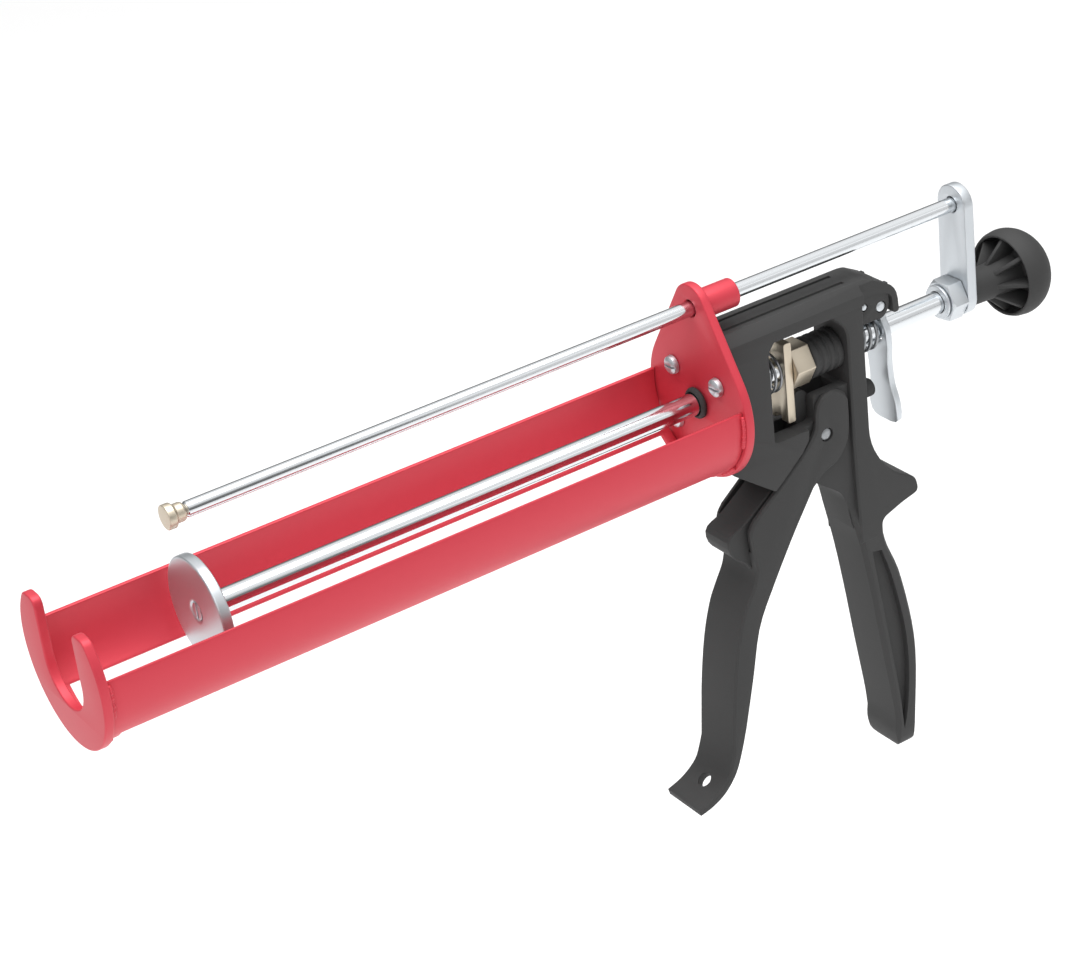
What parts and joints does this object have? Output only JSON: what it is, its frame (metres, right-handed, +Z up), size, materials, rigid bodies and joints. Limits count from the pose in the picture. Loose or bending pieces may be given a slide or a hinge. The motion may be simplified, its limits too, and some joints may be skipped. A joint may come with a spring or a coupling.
{
  "type": "two-component cartridge gun",
  "caption": "Hand-powered two-rod cartridge gun: half-round open cradle with notched muzzle plate, pistol grip, long trigger, pusher carriage with knob and release lever.",
  "frame": {"origin": "middle of the rear grip, on the gun's plane of symmetry, where the palm holds it", "axes": "+X along both rods towards the muzzle, +Y to the gun's left side, +Z up from the grip to the rods"},
  "size_m": [0.4779, 0.066, 0.261],
  "materials": {
    "red_powder_coat": "glossy red powder coat on pressed steel",
    "black_glass_filled_nylon": "moulded black glass-filled nylon, fine satin grain",
    "zinc_plated_steel": "bright clear-passivated zinc plate",
    "plated_rod_steel": "bright drawn and plated round bar",
    "yellow_passivated_steel": "pale yellow-passivated zinc plate",
    "spring_steel": "oiled bright spring wire"
  },
  "bodies": {
    "frame": {"cradle": "red_powder_coat", "front_plate": "red_powder_coat", "back_plate": "red_powder_coat", "rod_guide_bush": "red_powder_coat", "rod_collar": "black_glass_filled_nylon", "plate_screw_upper_left": "zinc_plated_steel", "plate_screw_lower_left": "zinc_plated_steel", "plate_screw_upper_right": "zinc_plated_steel", "plate_screw_lower_right": "zinc_plated_steel", "handle_body": "black_glass_filled_nylon", "rod_barrel": "black_glass_filled_nylon", "trigger_pivot_pin": "spring_steel", "lever_hanger_pin": "zinc_plated_steel", "ear_cross_pin": "zinc_plated_steel", "lever_stop_peg": "black_glass_filled_nylon", "drive_spring": "spring_steel", "release_spring": "spring_steel"},
    "carriage": {"main_rod": "plated_rod_steel", "pusher_disc": "zinc_plated_steel", "disc_screw": "zinc_plated_steel", "thin_rod": "plated_rod_steel", "small_plunger": "yellow_passivated_steel", "rear_strap": "zinc_plated_steel", "strap_nut": "zinc_plated_steel", "nut_washer": "zinc_plated_steel", "thin_rod_rivet": "zinc_plated_steel", "pull_knob": "black_glass_filled_nylon"},
    "trigger_arm": {"trigger": "black_glass_filled_nylon"},
    "drive": {"drive_plate": "yellow_passivated_steel", "drive_sleeve": "yellow_passivated_steel"},
    "release": {"release_lever": "zinc_plated_steel"}
  },
  "joints": [
    {"name": "carriage_slide", "type": "slide", "parent": "frame", "child": "carriage", "axis": [1, 0, 0], "range_m": [-0.226, 0.029]},
    {"name": "trigger_squeeze", "type": "hinge", "parent": "frame", "child": "trigger_arm", "pos_m": [0.0334, 0, 0.108], "axis": [0, 1, 0], "range_deg": [0, 24], "stiffness_Nm_per_rad": 1, "springref_deg": -8.59},
    {"name": "drive_stroke", "type": "slide", "parent": "frame", "child": "drive", "axis": [1, 0, 0], "range_m": [0, 0.0061], "deforming": ["drive_spring"]},
    {"name": "release_press", "type": "hinge", "parent": "frame", "child": "release", "pos_m": [-0.002, 0, 0.154], "axis": [0, 1, 0], "range_deg": [-7, 0], "stiffness_Nm_per_rad": 0.8, "springref_deg": 6.88, "deforming": ["release_spring"]}
  ],
  "couplings": [
    {"joint": "drive_stroke", "follows": "trigger_squeeze", "m_per_rad": 0.0143}
  ]
}
